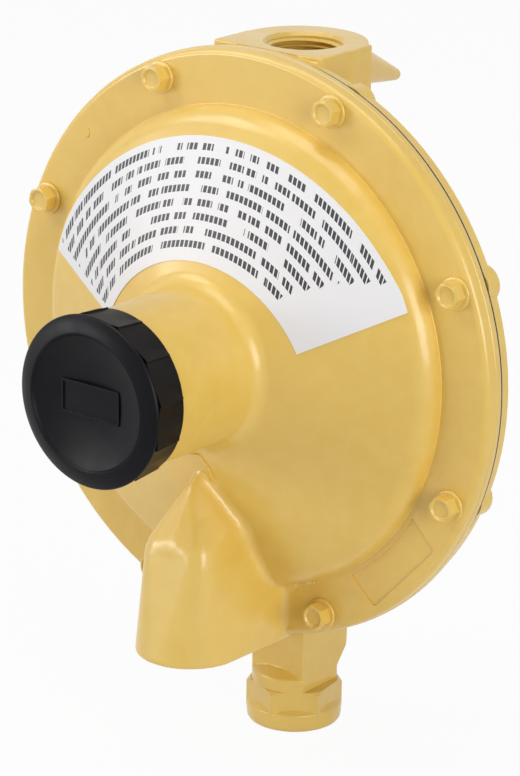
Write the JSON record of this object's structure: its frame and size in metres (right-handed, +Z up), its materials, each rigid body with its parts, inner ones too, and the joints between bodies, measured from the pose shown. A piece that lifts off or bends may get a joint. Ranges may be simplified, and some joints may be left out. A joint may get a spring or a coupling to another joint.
{
  "type": "low-pressure gas regulator",
  "caption": "Round diaphragm gas regulator with a capped spring neck, a downward vent hood, a lever-worked valve inside and a female pipe port at each end of one vertical axis.",
  "frame": {"origin": "centre of the inlet port's mouth, on the axis that both pipe ports share", "axes": "+Z up the port axis towards the outlet, -Y towards the cap and the front of the bonnet, +X to the right seen from the front"},
  "size_m": [0.2006, 0.1444, 0.2439],
  "materials": {
    "gold_paint": "semi-gloss tan-gold enamel",
    "black_plastic": "satin moulded black",
    "white_vinyl": "satin white adhesive film",
    "brass": "machined",
    "plated_steel": "zinc plated",
    "spring_steel": "drawn wire",
    "nitrile": "matt",
    "nylon": "natural",
    "mesh_steel": "woven wire"
  },
  "bodies": {
    "body": {"rear_casing": "gold_paint", "bonnet": "gold_paint", "flange_screws": "gold_paint", "inlet_fitting": "gold_paint", "nozzle": "brass", "valve_guide": "nylon", "lever_pin": "plated_steel", "lever_bracket": "plated_steel", "bracket_screws": "plated_steel", "vent_screen": "mesh_steel", "vent_screen_ring": "brass", "pressure_tap_plug": "brass", "label": "white_vinyl"},
    "cap_lead": {"cap_gasket": "nitrile"},
    "cap": {"closing_cap": "black_plastic"},
    "seat": {"spring_seat": "plated_steel", "main_spring": "spring_steel"},
    "adjuster": {"adjusting_screw": "brass"},
    "stem": {"relief_stem": "brass", "relief_disc": "nitrile", "relief_spring": "spring_steel", "relief_retainer": "brass"},
    "plates": {"pressure_plate": "plated_steel", "backing_plate": "plated_steel", "diaphragm": "nitrile"},
    "lever": {"lever": "plated_steel"},
    "disc": {"disc_holder": "brass", "seat_disc": "nitrile"}
  },
  "joints": [
    {"name": "cap_lift", "type": "slide", "parent": "body", "child": "cap_lead", "axis": [0, -1, 0], "range_m": [0, 0.0125]},
    {"name": "cap_turn", "type": "hinge", "parent": "cap_lead", "child": "cap", "pos_m": [0, -0.1017, 0.1436], "axis": [0, -1, 0], "range_deg": [0, 1800]},
    {"name": "adjuster_travel", "type": "slide", "parent": "body", "child": "seat", "axis": [0, -1, 0], "range_m": [-0.004, 0.003], "deforming": ["main_spring"]},
    {"name": "adjuster_turn", "type": "hinge", "parent": "seat", "child": "adjuster", "pos_m": [0, -0.0817, 0.1436], "axis": [0, -1, 0], "range_deg": [-962, 722]},
    {"name": "stem_travel", "type": "slide", "parent": "body", "child": "stem", "axis": [0, -1, 0], "range_m": [0, 0.007], "stiffness_N_per_m": 3000, "springref_m": -0.004, "deforming": ["main_spring", "diaphragm", "relief_spring"]},
    {"name": "relief_lift", "type": "slide", "parent": "stem", "child": "plates", "axis": [0, -1, 0], "range_m": [0, 0.003], "stiffness_N_per_m": 3000, "springref_m": -0.002, "deforming": ["relief_spring", "main_spring", "diaphragm"]},
    {"name": "lever_swing", "type": "hinge", "parent": "body", "child": "lever", "pos_m": [0, 0.0093, 0.0776], "axis": [1, 0, 0], "range_deg": [0, 6.2]},
    {"name": "valve_lift", "type": "slide", "parent": "body", "child": "disc", "axis": [0, 0, -1], "range_m": [0, 0.001]}
  ],
  "couplings": [
    {"joint": "cap_turn", "follows": "cap_lift", "rad_per_m": 2513.3},
    {"joint": "adjuster_turn", "follows": "adjuster_travel", "rad_per_m": 4188.8},
    {"joint": "lever_swing", "follows": "stem_travel", "rad_per_m": 15.152},
    {"joint": "valve_lift", "follows": "stem_travel", "ratio": 0.14091}
  ]
}
